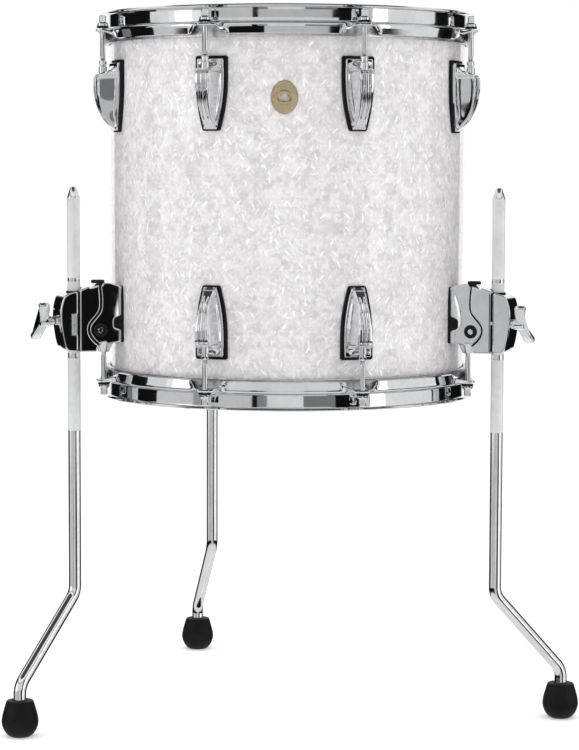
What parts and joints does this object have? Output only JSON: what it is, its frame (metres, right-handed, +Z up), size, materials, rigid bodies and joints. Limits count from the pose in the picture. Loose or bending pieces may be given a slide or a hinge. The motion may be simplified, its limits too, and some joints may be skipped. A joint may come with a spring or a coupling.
{
  "type": "floor tom drum",
  "caption": "Cylindrical drum with a pearl-wrapped wooden shell, a head and flanged metal hoop at each end, and height-adjustable bent legs with rubber feet.",
  "frame": {"origin": "on the floor under the middle of the whole outline, feet included; the drum axis stands at x -0.0109 m, y -0.0546 m", "axes": "+Z up along the drum axis, -Y towards the front, where the badge is, +X to the right as seen from the front"},
  "size_m": [0.5652, 0.4886, 0.6989],
  "materials": {
    "maple_ply": "clear satin lacquer on plies, seen only inside",
    "pearl_wrap": "high gloss white pearl sheet",
    "head_film": "coated film",
    "flesh_hoop_aluminium": "plain drawn",
    "chrome": "bright plated",
    "leg_chrome": "plated over straight knurling",
    "badge_gold": "satin gold",
    "black_rubber": "moulded matt",
    "liner_nylon": "moulded nylon"
  },
  "bodies": {
    "drum": {"back_bracket_base": "chrome", "back_clamp_body": "chrome", "badge_plate": "badge_gold", "batter_flesh_hoop": "flesh_hoop_aluminium", "batter_head": "head_film", "bottom_hoop": "chrome", "bottom_lug_1": "chrome", "bottom_lug_3": "chrome", "bottom_lug_4": "chrome", "bottom_lug_6": "chrome", "bottom_lug_8": "chrome", "left_bracket_base": "chrome", "left_clamp_body": "chrome", "pearl_wrap": "pearl_wrap", "resonant_flesh_hoop": "flesh_hoop_aluminium", "resonant_head": "head_film", "right_bracket_base": "chrome", "right_clamp_body": "chrome", "shell": "maple_ply", "top_hoop": "chrome", "top_lug_1": "chrome", "top_lug_2": "chrome", "top_lug_3": "chrome", "top_lug_4": "chrome", "top_lug_5": "chrome", "top_lug_6": "chrome", "top_lug_7": "chrome", "top_lug_8": "chrome", "vent_grommet": "badge_gold"},
    "top_rod_1": {"top_rod_1": "chrome"},
    "top_rod_2": {"top_rod_2": "chrome"},
    "top_rod_3": {"top_rod_3": "chrome"},
    "top_rod_4": {"top_rod_4": "chrome"},
    "top_rod_5": {"top_rod_5": "chrome"},
    "top_rod_6": {"top_rod_6": "chrome"},
    "top_rod_7": {"top_rod_7": "chrome"},
    "top_rod_8": {"top_rod_8": "chrome"},
    "bottom_rod_1": {"bottom_rod_1": "chrome"},
    "bottom_rod_2": {"bottom_rod_2": "chrome"},
    "bottom_rod_3": {"bottom_rod_3": "chrome"},
    "bottom_rod_4": {"bottom_rod_4": "chrome"},
    "bottom_rod_5": {"bottom_rod_5": "chrome"},
    "bottom_rod_6": {"bottom_rod_6": "chrome"},
    "bottom_rod_7": {"bottom_rod_7": "chrome"},
    "bottom_rod_8": {"bottom_rod_8": "chrome"},
    "left_jaw": {"left_clamp_jaw": "chrome"},
    "left_wing_bolt": {"left_wing_bolt": "chrome"},
    "left_liner": {"left_leg_liner": "liner_nylon"},
    "left_leg": {"left_leg": "leg_chrome", "left_foot": "black_rubber"},
    "right_jaw": {"right_clamp_jaw": "chrome"},
    "right_wing_bolt": {"right_wing_bolt": "chrome"},
    "right_liner": {"right_leg_liner": "liner_nylon"},
    "right_leg": {"right_leg": "leg_chrome", "right_foot": "black_rubber"},
    "back_jaw": {"back_clamp_jaw": "chrome"},
    "back_wing_bolt": {"back_wing_bolt": "chrome"},
    "back_liner": {"back_leg_liner": "liner_nylon"},
    "back_leg": {"back_leg": "leg_chrome", "back_foot": "black_rubber"}
  },
  "joints": [
    {"name": "top_rod_1_turn", "type": "hinge", "parent": "drum", "child": "top_rod_1", "pos_m": [0.06304, -0.23315, 0.5093], "axis": [0, 0, 1], "continuous": true},
    {"name": "top_rod_2_turn", "type": "hinge", "parent": "drum", "child": "top_rod_2", "pos_m": [0.16765, -0.12854, 0.5093], "axis": [0, 0, 1], "continuous": true},
    {"name": "top_rod_3_turn", "type": "hinge", "parent": "drum", "child": "top_rod_3", "pos_m": [0.16765, 0.01941, 0.5093], "axis": [0, 0, 1], "continuous": true},
    {"name": "top_rod_4_turn", "type": "hinge", "parent": "drum", "child": "top_rod_4", "pos_m": [0.06304, 0.12402, 0.5093], "axis": [0, 0, 1], "continuous": true},
    {"name": "top_rod_5_turn", "type": "hinge", "parent": "drum", "child": "top_rod_5", "pos_m": [-0.08491, 0.12402, 0.5093], "axis": [0, 0, 1], "continuous": true},
    {"name": "top_rod_6_turn", "type": "hinge", "parent": "drum", "child": "top_rod_6", "pos_m": [-0.18952, 0.01941, 0.5093], "axis": [0, 0, 1], "continuous": true},
    {"name": "top_rod_7_turn", "type": "hinge", "parent": "drum", "child": "top_rod_7", "pos_m": [-0.18952, -0.12854, 0.5093], "axis": [0, 0, 1], "continuous": true},
    {"name": "top_rod_8_turn", "type": "hinge", "parent": "drum", "child": "top_rod_8", "pos_m": [-0.08491, -0.23315, 0.5093], "axis": [0, 0, 1], "continuous": true},
    {"name": "bottom_rod_1_turn", "type": "hinge", "parent": "drum", "child": "bottom_rod_1", "pos_m": [0.06304, -0.23315, 0.5093], "axis": [0, 0, 1], "continuous": true},
    {"name": "bottom_rod_2_turn", "type": "hinge", "parent": "drum", "child": "bottom_rod_2", "pos_m": [0.16765, -0.12854, 0.5093], "axis": [0, 0, 1], "continuous": true},
    {"name": "bottom_rod_3_turn", "type": "hinge", "parent": "drum", "child": "bottom_rod_3", "pos_m": [0.16765, 0.01941, 0.5093], "axis": [0, 0, 1], "continuous": true},
    {"name": "bottom_rod_4_turn", "type": "hinge", "parent": "drum", "child": "bottom_rod_4", "pos_m": [0.06304, 0.12402, 0.5093], "axis": [0, 0, 1], "continuous": true},
    {"name": "bottom_rod_5_turn", "type": "hinge", "parent": "drum", "child": "bottom_rod_5", "pos_m": [-0.08491, 0.12402, 0.5093], "axis": [0, 0, 1], "continuous": true},
    {"name": "bottom_rod_6_turn", "type": "hinge", "parent": "drum", "child": "bottom_rod_6", "pos_m": [-0.18952, 0.01941, 0.5093], "axis": [0, 0, 1], "continuous": true},
    {"name": "bottom_rod_7_turn", "type": "hinge", "parent": "drum", "child": "bottom_rod_7", "pos_m": [-0.18952, -0.12854, 0.5093], "axis": [0, 0, 1], "continuous": true},
    {"name": "bottom_rod_8_turn", "type": "hinge", "parent": "drum", "child": "bottom_rod_8", "pos_m": [-0.08491, -0.23315, 0.5093], "axis": [0, 0, 1], "continuous": true},
    {"name": "left_jaw_open", "type": "hinge", "parent": "drum", "child": "left_jaw", "pos_m": [-0.2122, -0.14983, 0.4051], "axis": [0, 0, 1], "range_deg": [0, 5]},
    {"name": "left_wing_bolt_turn", "type": "hinge", "parent": "left_jaw", "child": "left_wing_bolt", "pos_m": [-0.17941, -0.11244, 0.3976], "axis": [-0.9239, -0.3827, 0], "continuous": true},
    {"name": "left_leg_swivel", "type": "hinge", "parent": "drum", "child": "left_liner", "pos_m": [-0.21761, -0.14017, 0.4051], "axis": [0, 0, 1], "continuous": true},
    {"name": "left_leg_slide", "type": "slide", "parent": "left_liner", "child": "left_leg", "axis": [0, 0, 1], "range_m": [-0.085, 0.2]},
    {"name": "right_jaw_open", "type": "hinge", "parent": "drum", "child": "right_jaw", "pos_m": [0.19875, -0.12951, 0.4051], "axis": [0, 0, 1], "range_deg": [0, 5]},
    {"name": "right_wing_bolt_turn", "type": "hinge", "parent": "right_jaw", "child": "right_wing_bolt", "pos_m": [0.14912, -0.13277, 0.3976], "axis": [0.9239, -0.3827, 0], "continuous": true},
    {"name": "right_leg_swivel", "type": "hinge", "parent": "drum", "child": "right_liner", "pos_m": [0.19574, -0.14017, 0.4051], "axis": [0, 0, 1], "continuous": true},
    {"name": "right_leg_slide", "type": "slide", "parent": "right_liner", "child": "right_leg", "axis": [0, 0, 1], "range_m": [-0.085, 0.2]},
    {"name": "back_jaw_open", "type": "hinge", "parent": "drum", "child": "back_jaw", "pos_m": [-0.10621, 0.1467, 0.4051], "axis": [0, 0, 1], "range_deg": [0, 5]},
    {"name": "back_wing_bolt_turn", "type": "hinge", "parent": "back_jaw", "child": "back_wing_bolt", "pos_m": [-0.06881, 0.11391, 0.3976], "axis": [-0.3827, 0.9239, 0], "continuous": true},
    {"name": "back_leg_swivel", "type": "hinge", "parent": "drum", "child": "back_liner", "pos_m": [-0.09654, 0.15211, 0.4051], "axis": [0, 0, 1], "continuous": true},
    {"name": "back_leg_slide", "type": "slide", "parent": "back_liner", "child": "back_leg", "axis": [0, 0, 1], "range_m": [-0.085, 0.2]}
  ]
}
